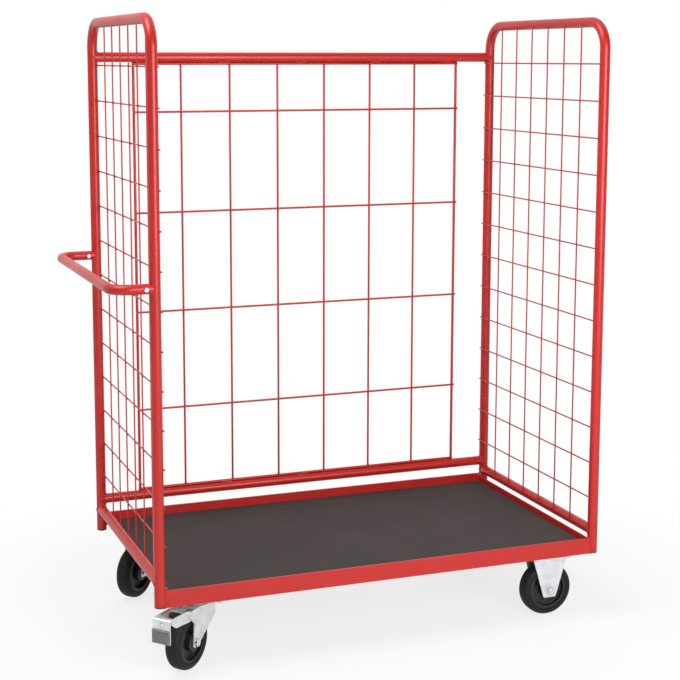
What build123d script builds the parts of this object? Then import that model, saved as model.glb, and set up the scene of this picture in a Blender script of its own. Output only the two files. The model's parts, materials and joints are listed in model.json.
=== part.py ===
from build123d import *
from math import cos, floor, radians, sin, sqrt
import os

# Mesh shelf trolley, in millimetres.
# The origin is the middle of the four posts, on the deck's top face.
# X runs along the trolley, away from the push handle. Y runs from front to back. Z is up.

# Plan of the posts and the tube they are bent from
post_span_x = 1250.0
post_span_y = 680.0
tube_d = 28.0
tube_wall = 2.0

# Heights above the underside of the base
hoop_top_h = 1474.0
lower_rail_h = 64.0
handle_h = 817.0
front_rail_h = 45.0
back_rail_h = 56.0
end_rail_h = 46.0

# Hoops and rails
hoop_bend_r = 72.0
rail_below_bend = 8.0
rail_gap = 2.0
plug_head_t = 4.0
plug_stem_l = 22.0
plug_fit = 0.1
plug_round = 2.5

# Base: angle irons, flat end bars, caster bearers and the board
angle_leg = 50.0
angle_t = 5.0
front_face_out = 10.0
end_rail_inset = 17.0
end_rail_t = 5.0
end_rail_w = 28.0
flange_inset = 31.0
bearer_w = 156.0
board_t = 27.0
board_gap = 2.0
board_edge = 1.0

# Screws that hold the board from below
screw_r = 2.5
screw_hole_r = 2.8
screw_head_r = 5.0
screw_head_h = 3.0
screw_bite = 16.0
screw_pitch = 240.0
screw_from_edge = 14.0
screw_count = 4

# End meshes: cross wires on the posts' inner sides, uprights from the lower rail to the hoop's top
side_wire_d = 4.0
side_wire_past = 5.0
side_row_pitch = 100.0
side_first_row = {"left": 93.0, "right": 98.0}
side_top_room = 40.0
side_col_pitch = 94.0
side_col_margin = 60.0

# Back panel: a rim of rods with a wide mesh
rim_d = 8.0
panel_wire_d = 6.0
panel_from_post = 117.0
panel_row_pitch = 290.5
panel_first_row = 258.5
panel_top_room = 100.0
panel_col_pitch = 147.4
panel_col_margin = 100.0

# Push handle on the left end, on two spigots with cross bolts
handle_d = 26.0
handle_wall = 2.0
handle_reach = 107.0
handle_bend_r = 46.0
handle_post_gap = 0.3
spigot_l = 46.0
spigot_fit = 0.15
cross_bolt_r = 3.0
cross_bolt_from_post = 25.0
cross_hole_fit = 0.2
cross_head_af = 10.0
cross_head_h = 4.0
cross_nut_h = 5.0
bolt_tail = 2.0

# Casters
swivel_inset_x = 110.0
fixed_inset_x = 116.0
caster_inset_y = 58.0
swivel_heading = {"front": 221.0, "rear": 223.0}
trail = 45.0
wheel_d = 150.0
tyre_w = 44.0
tyre_depth = 19.0
tyre_shoulder = 15.0
wheel_gap = 9.0
plate_l = 135.0
plate_w = 110.0
plate_t = 5.0
plate_corner_r = 8.0
bolt_pitch_x = 105.0
bolt_pitch_y = 80.0
bolt_r = 4.0
bolt_hole_r = 4.5
bolt_head_r = 8.0
bolt_head_gap = 0.2
nut_af = 13.0
nut_h = 6.5
nut_fit = 0.05

# Swivel head
body_gap = 0.3
running_fit = 0.05
race_r = 33.0
race_bore_r = 17.0
race_h = 12.7
race_round = 4.0
crown_t = 5.0
crown_r = 36.0
crown_front = 46.0
crown_back = 50.0
kingpin_r = 8.0
kingpin_head_r = 13.0
kingpin_head_h = 2.5
kingpin_rivet_h = 7.0

# Fork and bracket legs
leg_t = 3.5
leg_corner_r = 5.0
fork_strap_h = 40.0
fork_foot = 12.0
wheel_side_gap = 5.0
bracket_strap_h = 12.0
bracket_top_l = 102.0
bracket_foot = 20.0

# Wheels
rim_band = 7.0
rim_band_side = 2.0
rim_web_t = 12.0
rim_recess_r = 3.0
pick_tol = 0.01
hub_r = 24.0
hub_side_gap = 2.0
bearing_wall = 4.0
axle_r = 7.5
axle_end_r = 6.0
axle_hole_fit = 0.1
axle_head_af = 19.0
axle_head_h = 7.0
axle_nut_h = 10.0

# Brake of the front left caster
brake_pin_at = 66.0
brake_pin_drop = 27.0
brake_pin_r = 4.0
brake_ear_r = 9.0
pin_head_h = 2.0
pin_head_r = 6.0
pin_head_fit = 0.1
pedal_barrel_r = 6.5
pedal_t = 3.0
pedal_leg_gap = 0.5
pedal_bend_r = 6.0
pedal_corner_r = 4.0
pedal_arm = ((-9.0, -3.0), (-7.0, 9.0), (18.0, 13.0), (84.0, 13.0), (84.0, 0.0), (64.0, -14.0), (-4.0, -19.0))
pedal_plate_l = 16.0
pedal_strip_l = 72.0
pedal_strip_w = 13.5
pedal_reach = 90.0
pedal_foot_drop = 50.0
pedal_hole_r = 4.5
pad_t = 4.5
pad_h = 36.0
pad_round = 2.0
brake_travel = 9.0
shoe_gap = 0.6
shoe_reach = 24.0
shoe_start = 10.0
shoe_top = 2.0

# Sizes worked out from the ones above
post_x = post_span_x / 2
post_y = post_span_y / 2
tube_r = tube_d / 2
base_z = -(angle_t + board_t)
hoop_top_z = base_z + hoop_top_h
lower_rail_z = base_z + lower_rail_h
back_bottom_rail_z = lower_rail_z + tube_d + rail_gap
back_top_rail_z = hoop_top_z - hoop_bend_r - rail_below_bend - tube_r
handle_z = base_z + handle_h
post_foot_z = base_z + plug_head_t
flange_top_z = base_z + angle_t
front_leg_y = -post_y - front_face_out
front_inner_y = front_leg_y + angle_t
front_flange_y = front_leg_y + angle_leg
back_inner_y = post_y - tube_r
back_leg_y = back_inner_y + angle_t
back_flange_y = back_leg_y - angle_leg
end_outer_x = post_x - end_rail_inset
end_inner_x = end_outer_x - end_rail_t
end_rail_foot_z = base_z + end_rail_h - end_rail_w
flange_end_x = post_x - flange_inset
side_wire_r = side_wire_d / 2
panel_wire_r = panel_wire_d / 2
rim_r = rim_d / 2
handle_r = handle_d / 2
spigot_r = handle_r - handle_wall - spigot_fit
wheel_r = wheel_d / 2
crown_top = plate_t + race_h + body_gap
crown_foot = crown_top + crown_t
axle_drop = crown_foot + wheel_gap + wheel_r
leg_inner = tyre_w / 2 + wheel_side_gap
leg_outer = leg_inner + leg_t
pedal_half_w = leg_inner - pedal_leg_gap
pedal_inner = pedal_half_w - pedal_t
tyre_seat_r = wheel_r - tyre_depth
hub_half = leg_inner - hub_side_gap
bearing_r = axle_r + running_fit + bearing_wall
bolt_foot = plate_t + nut_h + bolt_tail
caster_x = {"left": -(post_x - swivel_inset_x), "right": post_x - fixed_inset_x}
caster_y = {"front": -(post_y - caster_inset_y), "rear": post_y - caster_inset_y}

os.makedirs("parts", exist_ok=True)


def keep(piece, name):
    """Labels a finished piece and writes its STEP file."""
    piece.part.label = name
    export_step(piece.part, f"parts/{name}.step")


def spread(pitch, room):
    """Places at one pitch about the middle of a room that holds them."""
    count = floor(room / pitch) + 1
    return [(i - (count - 1) / 2) * pitch for i in range(count)]


def rows_up(first, pitch, top):
    """Heights from the first one up to the top, at one pitch."""
    return [first + i * pitch for i in range(floor((top - first) / pitch) + 1)]


def bolt_holes(x, flange_plane, ys):
    """Cuts the flush bolt holes of one caster that lie at the given distances along Y."""
    with Locations(*[flange_plane * Location((x + sx * bolt_pitch_x / 2, y)) for sx in (-1, 1) for y in ys]):
        CounterSinkHole(bolt_hole_r, bolt_head_r + bolt_head_gap, angle_t, 90)


# Base frame
flange_plane = Plane.XY.offset(flange_top_z)
screw_xs = [(i - (screw_count - 1) / 2) * screw_pitch for i in range(screw_count)]
screw_ys = (front_flange_y - screw_from_edge, back_flange_y + screw_from_edge)
front_bolt_y = caster_y["front"] - bolt_pitch_y / 2
back_bolt_y = caster_y["rear"] + bolt_pitch_y / 2
inner_bolt_ys = (caster_y["front"] + bolt_pitch_y / 2, caster_y["rear"] - bolt_pitch_y / 2)

with BuildPart() as front_rail:
    with BuildSketch(Plane.XY.offset(base_z)):
        with Locations((0, (front_leg_y + front_inner_y) / 2)):
            Rectangle(post_span_x, angle_t)
    extrude(amount=front_rail_h)
    with BuildSketch(Plane.XY.offset(base_z)):
        with Locations((0, (front_leg_y + front_flange_y) / 2)):
            Rectangle(2 * flange_end_x, angle_leg)
    extrude(amount=angle_t)
    with Locations((-post_x, -post_y, base_z), (post_x, -post_y, base_z)):
        Cylinder(tube_r, 2 * front_rail_h, mode=Mode.SUBTRACT)
    with Locations((-post_x, -post_y, lower_rail_z), (post_x, -post_y, lower_rail_z)):
        Cylinder(tube_r, 2 * tube_d, rotation=(90, 0, 0), mode=Mode.SUBTRACT)
    for x in caster_x.values():
        bolt_holes(x, flange_plane, [front_bolt_y])
    with Locations(*[flange_plane * Location((x, screw_ys[0])) for x in screw_xs]):
        Hole(screw_hole_r, angle_t)
keep(front_rail, "front_rail")

back_leg_half = post_x - sqrt(tube_r**2 - (tube_r - angle_t) ** 2)
with BuildPart() as back_rail:
    with BuildSketch(Plane.XY.offset(base_z)):
        with Locations((0, (back_inner_y + back_leg_y) / 2)):
            Rectangle(2 * flange_end_x, angle_t)
    extrude(amount=back_rail_h)
    with BuildSketch(Plane.XY.offset(end_rail_foot_z)):
        with Locations((0, (back_inner_y + back_leg_y) / 2)):
            Rectangle(2 * back_leg_half, angle_t)
    extrude(amount=base_z + back_rail_h - end_rail_foot_z)
    with BuildSketch(Plane.XY.offset(base_z)):
        with Locations((0, (back_flange_y + back_leg_y) / 2)):
            Rectangle(2 * flange_end_x, angle_leg)
    extrude(amount=angle_t)
    with Locations((-post_x, post_y, lower_rail_z), (post_x, post_y, lower_rail_z)):
        Cylinder(tube_r, 2 * tube_d, rotation=(90, 0, 0), mode=Mode.SUBTRACT)
    for x in caster_x.values():
        bolt_holes(x, flange_plane, [back_bolt_y])
    with Locations(*[flange_plane * Location((x, screw_ys[1])) for x in screw_xs]):
        Hole(screw_hole_r, angle_t)
keep(back_rail, "back_rail")

for side, sign in (("left", -1), ("right", 1)):
    with BuildPart() as end_rail:
        with BuildSketch(Plane.XY.offset(end_rail_foot_z)):
            with Locations((sign * (end_outer_x + end_inner_x) / 2, (front_inner_y + back_inner_y) / 2)):
                Rectangle(end_rail_t, back_inner_y - front_inner_y)
        extrude(amount=end_rail_w)
    keep(end_rail, f"{side}_end_rail")

    with BuildPart() as bearer:
        with BuildSketch(Plane.XY.offset(base_z)):
            with Locations((sign * (flange_end_x - bearer_w / 2), (front_flange_y + back_flange_y) / 2)):
                Rectangle(bearer_w, back_flange_y - front_flange_y)
        extrude(amount=angle_t)
        bolt_holes(caster_x[side], flange_plane, inner_bolt_ys)
    keep(bearer, f"{side}_caster_bearer")

with BuildPart() as deck_board:
    with BuildSketch(flange_plane):
        with Locations((0, (front_inner_y + back_inner_y) / 2)):
            Rectangle(2 * (end_inner_x - board_gap), back_inner_y - front_inner_y - 2 * board_gap)
    extrude(amount=board_t)
    chamfer(deck_board.faces().sort_by(Axis.Z)[-1].edges(), board_edge)
    with BuildSketch(flange_plane):
        with Locations(*[(x, y) for x in screw_xs for y in screw_ys]):
            Circle(screw_r)
    extrude(amount=screw_bite, mode=Mode.SUBTRACT)
keep(deck_board, "deck_board")

with BuildPart() as deck_screws:
    with BuildSketch(Plane.XY.offset(base_z)):
        with Locations(*[(x, y) for x in screw_xs for y in screw_ys]):
            Circle(screw_head_r)
    extrude(amount=-screw_head_h)
    with BuildSketch(Plane.XY.offset(base_z)):
        with Locations(*[(x, y) for x in screw_xs for y in screw_ys]):
            Circle(screw_r)
    extrude(amount=angle_t + screw_bite)
keep(deck_screws, "deck_screws")

# End frames
for side, sign in (("left", -1), ("right", 1)):
    x = sign * post_x
    with BuildPart() as hoop:
        with BuildLine(Plane.YZ.offset(x)):
            FilletPolyline(
                (-post_y, post_foot_z),
                (-post_y, hoop_top_z),
                (post_y, hoop_top_z),
                (post_y, post_foot_z),
                radius=hoop_bend_r,
            )
        with BuildSketch(Plane((x, -post_y, post_foot_z))):
            Circle(tube_r)
            Circle(tube_r - tube_wall, mode=Mode.SUBTRACT)
        sweep()
    keep(hoop, f"{side}_hoop")

    with BuildPart() as lower_rail:
        with BuildSketch(Plane((x, -post_y, lower_rail_z), z_dir=(0, 1, 0))):
            Circle(tube_r)
            Circle(tube_r - tube_wall, mode=Mode.SUBTRACT)
        extrude(amount=post_span_y)
        with Locations((x, -post_y, lower_rail_z), (x, post_y, lower_rail_z)):
            Cylinder(tube_r, 2 * tube_d, mode=Mode.SUBTRACT)
    keep(lower_rail, f"{side}_lower_rail")

    cross_x = sign * (post_x - tube_r - side_wire_r)
    upright_x = cross_x + sign * side_wire_d
    with BuildPart() as mesh_uprights:
        with BuildSketch(Plane.XY.offset(lower_rail_z)):
            with Locations(*[(upright_x, y) for y in spread(side_col_pitch, post_span_y - 2 * side_col_margin)]):
                Circle(side_wire_r)
        extrude(amount=hoop_top_z - lower_rail_z)
        with Locations((x, 0, lower_rail_z), (x, 0, hoop_top_z)):
            Cylinder(tube_r, post_span_y, rotation=(90, 0, 0), mode=Mode.SUBTRACT)
    keep(mesh_uprights, f"{side}_mesh_uprights")

    rows = rows_up(lower_rail_z + side_first_row[side], side_row_pitch, hoop_top_z - side_top_room)
    cross_end_y = post_y + side_wire_past
    with BuildPart() as mesh_crosswires:
        with BuildSketch(Plane((0, -cross_end_y, 0), x_dir=(1, 0, 0), z_dir=(0, 1, 0))):
            with Locations(*[(cross_x, -z) for z in rows]):
                Circle(side_wire_r)
        extrude(amount=2 * cross_end_y)
    keep(mesh_crosswires, f"{side}_mesh_crosswires")

post_spots = [(sx * post_x, sy * post_y) for sx in (-1, 1) for sy in (-1, 1)]
with BuildPart() as post_plugs:
    with BuildSketch(Plane.XY.offset(base_z)):
        with Locations(*post_spots):
            Circle(tube_r)
    extrude(amount=plug_head_t)
    fillet(post_plugs.faces().filter_by(Plane.XY).group_by(Axis.Z)[0].edges(), plug_round)
    with BuildSketch(Plane.XY.offset(post_foot_z)):
        with Locations(*post_spots):
            Circle(tube_r - tube_wall - plug_fit)
    extrude(amount=plug_stem_l)
keep(post_plugs, "post_plugs")

# Back rails and back panel
for name, z in (("back_top_rail", back_top_rail_z), ("back_bottom_rail", back_bottom_rail_z)):
    with BuildPart() as back_tube:
        with BuildSketch(Plane((-post_x, post_y, z), z_dir=(1, 0, 0))):
            Circle(tube_r)
            Circle(tube_r - tube_wall, mode=Mode.SUBTRACT)
        extrude(amount=post_span_x)
        with Locations((-post_x, post_y, z), (post_x, post_y, z)):
            Cylinder(tube_r, 2 * tube_d, mode=Mode.SUBTRACT)
    keep(back_tube, name)

panel_half = post_x - panel_from_post
rim_low_z = back_bottom_rail_z + tube_r + rim_r
rim_high_z = back_top_rail_z - tube_r - rim_r
with BuildPart() as back_mesh_rim:
    with BuildSketch(Plane((-panel_half - rim_r, post_y, 0), x_dir=(0, 1, 0), z_dir=(1, 0, 0))):
        with Locations((0, rim_low_z), (0, rim_high_z)):
            Circle(rim_r)
    extrude(amount=2 * (panel_half + rim_r))
    with BuildSketch(Plane.XY.offset(rim_low_z + rim_r)):
        with Locations((-panel_half, post_y), (panel_half, post_y)):
            Circle(rim_r)
    extrude(amount=rim_high_z - rim_low_z - rim_d)
keep(back_mesh_rim, "back_mesh_rim")

panel_upright_y = post_y - rim_r + panel_wire_r
panel_cross_y = panel_upright_y - panel_wire_d
with BuildPart() as back_mesh_uprights:
    with BuildSketch(Plane.XY.offset(rim_low_z + rim_r)):
        with Locations(
            *[(x, panel_upright_y) for x in spread(panel_col_pitch, 2 * (panel_half - panel_col_margin))]
        ):
            Circle(panel_wire_r)
    extrude(amount=rim_high_z - rim_low_z - rim_d)
keep(back_mesh_uprights, "back_mesh_uprights")

panel_rows = rows_up(back_bottom_rail_z + panel_first_row, panel_row_pitch, back_top_rail_z - panel_top_room)
with BuildPart() as back_mesh_crosswires:
    with BuildSketch(Plane((-panel_half - rim_r, panel_cross_y, 0), x_dir=(0, 1, 0), z_dir=(1, 0, 0))):
        with Locations(*[(0, z) for z in panel_rows]):
            Circle(panel_wire_r)
    extrude(amount=2 * (panel_half + rim_r))
keep(back_mesh_crosswires, "back_mesh_crosswires")

# Push handle
grip_x = -post_x - handle_reach
cross_bolt_x = -post_x - cross_bolt_from_post
arm_spots = [(-post_x, -post_y), (-post_x, post_y)]
with BuildPart() as push_handle:
    with BuildLine(Plane.XY.offset(handle_z)):
        FilletPolyline(
            (-post_x, -post_y), (grip_x, -post_y), (grip_x, post_y), (-post_x, post_y), radius=handle_bend_r
        )
    with BuildSketch(Plane((-post_x, -post_y, handle_z), z_dir=(-1, 0, 0))):
        Circle(handle_r)
        Circle(handle_r - handle_wall, mode=Mode.SUBTRACT)
    sweep()
    with Locations(*[(px, py, handle_z) for px, py in arm_spots]):
        Cylinder(tube_r + handle_post_gap, 2 * handle_d, mode=Mode.SUBTRACT)
    with Locations(*[(cross_bolt_x, py, handle_z) for px, py in arm_spots]):
        Cylinder(cross_bolt_r + cross_hole_fit, 2 * handle_d, rotation=(90, 0, 0), mode=Mode.SUBTRACT)
keep(push_handle, "push_handle")

with BuildPart() as handle_spigots:
    with BuildSketch(Plane((-post_x, 0, handle_z), x_dir=(0, 1, 0), z_dir=(-1, 0, 0))):
        with Locations((-post_y, 0), (post_y, 0)):
            Circle(spigot_r)
    extrude(amount=spigot_l)
    with Locations(*[(px, py, handle_z) for px, py in arm_spots]):
        Cylinder(tube_r, 2 * handle_d, mode=Mode.SUBTRACT)
    with Locations(*[(cross_bolt_x, py, handle_z) for px, py in arm_spots]):
        Cylinder(cross_bolt_r + cross_hole_fit, 2 * handle_d, rotation=(90, 0, 0), mode=Mode.SUBTRACT)
keep(handle_spigots, "handle_spigots")

with BuildPart() as handle_bolts:
    for sign in (-1, 1):
        head = Plane((cross_bolt_x, sign * (post_y + handle_r), handle_z), x_dir=(1, 0, 0), z_dir=(0, sign, 0))
        with BuildSketch(head):
            RegularPolygon(cross_head_af / 2, 6, major_radius=False)
        extrude(amount=cross_head_h)
        with BuildSketch(head):
            Circle(cross_bolt_r)
        extrude(amount=-(handle_d + cross_nut_h + bolt_tail))
keep(handle_bolts, "handle_bolts")

with BuildPart() as handle_nuts:
    for sign in (-1, 1):
        seat = Plane((cross_bolt_x, sign * (post_y - handle_r), handle_z), x_dir=(1, 0, 0), z_dir=(0, -sign, 0))
        with BuildSketch(seat):
            RegularPolygon(cross_head_af / 2, 6, major_radius=False)
            Circle(cross_bolt_r + nut_fit, mode=Mode.SUBTRACT)
        extrude(amount=cross_nut_h)
keep(handle_nuts, "handle_nuts")

# Caster bolts and nuts, four to each caster
bolt_spots = [
    (x + sx * bolt_pitch_x / 2, y + sy * bolt_pitch_y / 2)
    for x in caster_x.values()
    for y in caster_y.values()
    for sx in (-1, 1)
    for sy in (-1, 1)
]
with BuildPart() as caster_bolts:
    with BuildSketch(flange_plane):
        with Locations(*bolt_spots):
            Circle(bolt_r)
    extrude(amount=-(angle_t + bolt_foot))
    with Locations(*[(x, y, flange_top_z - (bolt_head_r - bolt_r) / 2) for x, y in bolt_spots]):
        Cone(bolt_r, bolt_head_r, bolt_head_r - bolt_r)
keep(caster_bolts, "caster_bolts")

with BuildPart() as caster_nuts:
    with BuildSketch(Plane.XY.offset(base_z - plate_t)):
        with Locations(*bolt_spots):
            RegularPolygon(nut_af / 2, 6, major_radius=False)
        with Locations(*bolt_spots):
            Circle(bolt_r + nut_fit, mode=Mode.SUBTRACT)
    extrude(amount=-nut_h)
keep(caster_nuts, "caster_nuts")


def side_plane(x, y, heading):
    """Upright plane through a caster's axis: local x along its heading, local y up, z along the axle."""
    run = Vector(cos(radians(heading)), sin(radians(heading)), 0)
    return Plane((x, y, base_z), x_dir=run, z_dir=run.cross(Vector(0, 0, 1)))


def caster_plate(x, y):
    """Adds a bolted caster plate under the base."""
    with BuildSketch(Plane((x, y, base_z))) as outline:
        RectangleRounded(plate_l, plate_w, plate_corner_r)
        with GridLocations(bolt_pitch_x, bolt_pitch_y, 2, 2):
            Circle(bolt_hole_r, mode=Mode.SUBTRACT)
    extrude(outline.sketch, amount=-plate_t)


def wheel_legs(side, axle_x, foot, top_from, top_to, top_drop, strap_h):
    """Adds the two legs beside a wheel, each tapering from its top strap to a flat foot under the axle."""
    for sign in (-1, 1):
        with BuildSketch(side.offset(sign * leg_inner)) as leg:
            with Locations(((top_from + top_to) / 2, -top_drop - strap_h / 2)):
                Rectangle(top_to - top_from, strap_h)
            foot_z = -axle_drop - foot + leg_corner_r
            with Locations((axle_x - foot + leg_corner_r, foot_z), (axle_x + foot - leg_corner_r, foot_z)):
                Circle(leg_corner_r)
            make_hull()
            with Locations((axle_x, -axle_drop)):
                Circle(axle_end_r + axle_hole_fit, mode=Mode.SUBTRACT)
        extrude(leg.sketch, amount=sign * leg_t)


def brake_ears(side):
    """Adds the two ears that carry the brake's pin to a fork's legs."""
    for sign in (-1, 1):
        with BuildSketch(side.offset(sign * leg_inner)) as ear:
            with Locations((0, -crown_top - fork_strap_h / 2)):
                Rectangle(2 * crown_back, fork_strap_h)
            with Locations((brake_pin_at, -brake_pin_drop)):
                Circle(brake_ear_r)
            make_hull()
            with Locations((0, -crown_top - fork_strap_h / 2)):
                Rectangle(2 * crown_back, fork_strap_h, mode=Mode.SUBTRACT)
            with Locations((brake_pin_at, -brake_pin_drop)):
                Circle(brake_pin_r + pin_head_fit, mode=Mode.SUBTRACT)
        extrude(ear.sketch, amount=sign * leg_t)


def save_wheel(corner, side, axle_x):
    """Tyre, rim and bearing of one wheel."""
    centre = side * Location((axle_x, -axle_drop))
    profile = Plane(centre.position, x_dir=side.z_dir, z_dir=side.x_dir)
    spin = Axis(centre.position, side.z_dir)
    with BuildPart() as tyre:
        with BuildSketch(profile):
            with Locations((0, wheel_r - tyre_depth / 2)):
                tread = Rectangle(tyre_w, tyre_depth)
            fillet(tread.vertices().group_by(Axis.Y)[-1], tyre_shoulder)
        revolve(axis=spin)
    keep(tyre, f"{corner}_tyre")

    with BuildPart() as rim:
        with BuildSketch(profile):
            with Locations((0, tyre_seat_r - rim_band / 2)):
                Rectangle(tyre_w - 2 * rim_band_side, rim_band)
            with Locations((0, (tyre_seat_r + bearing_r) / 2)):
                Rectangle(rim_web_t, tyre_seat_r - bearing_r)
            with Locations((0, (hub_r + bearing_r) / 2)):
                Rectangle(2 * hub_half, hub_r - bearing_r)
        revolve(axis=spin)
        inner_corners = rim.edges().filter_by(GeomType.CIRCLE).filter_by(
            lambda edge: abs(abs(side.to_local_coords(edge.arc_center).Z) - rim_web_t / 2) < pick_tol
        )
        fillet(inner_corners, rim_recess_r)
    keep(rim, f"{corner}_rim")

    with BuildPart() as bearing:
        with BuildSketch(side.offset(-hub_half)):
            with Locations((axle_x, -axle_drop)):
                Circle(bearing_r)
                Circle(axle_r + running_fit, mode=Mode.SUBTRACT)
        extrude(amount=2 * hub_half)
    keep(bearing, f"{corner}_bearing")


def axle_solid(side, axle_x):
    """Adds a shouldered axle bolt, its head on the side that faces away from the plane's normal."""
    with BuildSketch(side.offset(-leg_inner)) as shank:
        with Locations((axle_x, -axle_drop)):
            Circle(axle_r)
    extrude(shank.sketch, amount=2 * leg_inner)
    with BuildSketch(side.offset(-leg_outer)) as ends:
        with Locations((axle_x, -axle_drop)):
            Circle(axle_end_r)
    extrude(ends.sketch, amount=2 * leg_outer + axle_nut_h + bolt_tail)
    with BuildSketch(side.offset(-leg_outer)) as head:
        with Locations((axle_x, -axle_drop)):
            RegularPolygon(axle_head_af / 2, 6, major_radius=False)
    extrude(head.sketch, amount=-axle_head_h)


def axle_nut_solid(side, axle_x):
    """Adds the nut on an axle's free end."""
    with BuildSketch(side.offset(leg_outer)) as nut:
        with Locations((axle_x, -axle_drop)):
            RegularPolygon(axle_head_af / 2, 6, major_radius=False)
            Circle(axle_end_r + nut_fit, mode=Mode.SUBTRACT)
    extrude(nut.sketch, amount=axle_nut_h)


# Fixed casters on the right, rolling along the trolley
fixed_sides = {}
for row, y in caster_y.items():
    x = caster_x["right"]
    side = side_plane(x, y, 0)
    fixed_sides[row] = side
    with BuildPart() as bracket:
        caster_plate(x, y)
        wheel_legs(side, 0, bracket_foot, -bracket_top_l / 2, bracket_top_l / 2, plate_t, bracket_strap_h)
    keep(bracket, f"{row}_right_bracket")
    save_wheel(f"{row}_right", side, 0)

with BuildPart() as fixed_axles:
    for side in fixed_sides.values():
        axle_solid(side, 0)
keep(fixed_axles, "fixed_axles")

with BuildPart() as fixed_axle_nuts:
    for side in fixed_sides.values():
        axle_nut_solid(side, 0)
keep(fixed_axle_nuts, "fixed_axle_nuts")

# Swivel casters on the left, trailing towards the front left corner at rest
for row, y in caster_y.items():
    x = caster_x["left"]
    corner = f"{row}_left"
    side = side_plane(x, y, swivel_heading[row])

    with BuildPart() as head_plate:
        caster_plate(x, y)
        with Locations((x, y, base_z)):
            CounterBoreHole(kingpin_r, kingpin_head_r, kingpin_head_h, plate_t)
    keep(head_plate, f"{corner}_head_plate")

    with BuildPart() as ball_race:
        with BuildSketch(Plane((x, y, base_z - plate_t))):
            Circle(race_r)
            Circle(race_bore_r, mode=Mode.SUBTRACT)
        extrude(amount=-race_h)
        rims = ball_race.edges().filter_by(GeomType.CIRCLE).group_by(Axis.Z)[0]
        fillet(rims.sort_by(SortBy.RADIUS)[-1], race_round)
    keep(ball_race, f"{corner}_ball_race")

    rivet_top = crown_foot + body_gap
    with BuildPart() as kingpin:
        with BuildSketch(Plane((x, y, base_z))):
            Circle(kingpin_head_r)
        extrude(amount=-kingpin_head_h)
        with BuildSketch(Plane((x, y, base_z))):
            Circle(kingpin_r)
        extrude(amount=-rivet_top)
        with BuildSketch(Plane((x, y, base_z - rivet_top))):
            Circle(kingpin_head_r)
        extrude(amount=-kingpin_rivet_h)
        fillet(kingpin.edges().sort_by(Axis.Z)[0], kingpin_rivet_h / 2)
    keep(kingpin, f"{corner}_kingpin")

    with BuildPart() as fork:
        with BuildSketch(Plane((x, y, base_z - crown_top), x_dir=side.x_dir)):
            Circle(crown_r)
            with Locations(((crown_back - crown_front) / 2, 0)):
                Rectangle(crown_front + crown_back, 2 * leg_outer)
            Circle(kingpin_r + running_fit, mode=Mode.SUBTRACT)
        extrude(amount=-crown_t)
        wheel_legs(side, trail, fork_foot, -crown_front, crown_back, crown_top, fork_strap_h)
        if row == "front":
            brake_ears(side)
    keep(fork, f"{corner}_fork")

    with BuildPart() as axle:
        axle_solid(side, trail)
    keep(axle, f"{corner}_axle")

    with BuildPart() as axle_nut:
        axle_nut_solid(side, trail)
    keep(axle_nut, f"{corner}_axle_nut")
    save_wheel(corner, side, trail)

# Brake pin, pedal, shoe and pedal pad of the front left caster, drawn about the pin
side = side_plane(caster_x["left"], caster_y["front"], swivel_heading["front"])
pin_spot = side * Location((brake_pin_at, -brake_pin_drop))
pivot = Plane(pin_spot.position, x_dir=side.x_dir, z_dir=side.z_dir)
with BuildPart() as brake_pin:
    with BuildSketch(pivot.offset(-leg_outer)):
        Circle(brake_pin_r)
    extrude(amount=2 * leg_outer)
    for sign in (-1, 1):
        with BuildSketch(pivot.offset(sign * leg_outer)):
            Circle(pin_head_r)
        extrude(amount=sign * pin_head_h)
keep(brake_pin, "front_left_brake_pin")

plate_z = max(dz for dx, dz in pedal_arm) - pedal_t / 2
with BuildPart() as brake_pedal:
    for sign in (-1, 1):
        with BuildSketch(pivot.offset(sign * pedal_inner)) as arm:
            with BuildLine():
                Polyline(*pedal_arm, close=True)
            make_face()
            fillet(arm.vertices(), pedal_corner_r)
        extrude(amount=sign * pedal_t)
    with BuildSketch(pivot.offset(-pedal_half_w)):
        with BuildLine():
            FilletPolyline(
                (pedal_reach - pedal_plate_l, plate_z),
                (pedal_reach, plate_z),
                (pedal_reach, -pedal_foot_drop),
                radius=pedal_bend_r,
            )
        trace(line_width=pedal_t)
        Circle(pedal_barrel_r)
    extrude(amount=2 * pedal_half_w)
    with BuildSketch(pivot.offset(pedal_half_w)):
        with Locations((pedal_reach - (pedal_strip_l + pedal_plate_l) / 2, plate_z)):
            Rectangle(pedal_strip_l - pedal_plate_l, pedal_t)
    extrude(amount=-pedal_strip_w)
    with BuildSketch(pivot.offset(-pedal_half_w)):
        Circle(brake_pin_r + running_fit)
    extrude(amount=2 * pedal_half_w, mode=Mode.SUBTRACT)
    with BuildSketch(Plane(pivot.origin, x_dir=pivot.z_dir, z_dir=pivot.x_dir).offset(pedal_reach - pedal_t)):
        Circle(pedal_hole_r)
    extrude(amount=2 * pedal_t, mode=Mode.SUBTRACT)
keep(brake_pedal, "front_left_brake_pedal")

# The shoe's face is the tyre's own curve once the pedal is down, less the gap that is left there
pin_to_axle = Vector(trail - brake_pin_at, brake_pin_drop - axle_drop, 0)
shoe_centre = pin_to_axle.rotate(Axis.Z, brake_travel)
with BuildPart() as brake_shoe:
    with BuildSketch(pivot.offset(-pedal_inner)):
        with BuildLine():
            Polyline(
                (shoe_start, shoe_top),
                (shoe_reach, shoe_top),
                (shoe_reach, pin_to_axle.Y),
                (shoe_start, pin_to_axle.Y),
                close=True,
            )
        make_face()
        with Locations((shoe_centre.X, shoe_centre.Y)):
            Circle(wheel_r + shoe_gap, mode=Mode.SUBTRACT)
    extrude(amount=2 * pedal_inner)
keep(brake_shoe, "front_left_brake_shoe")

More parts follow.
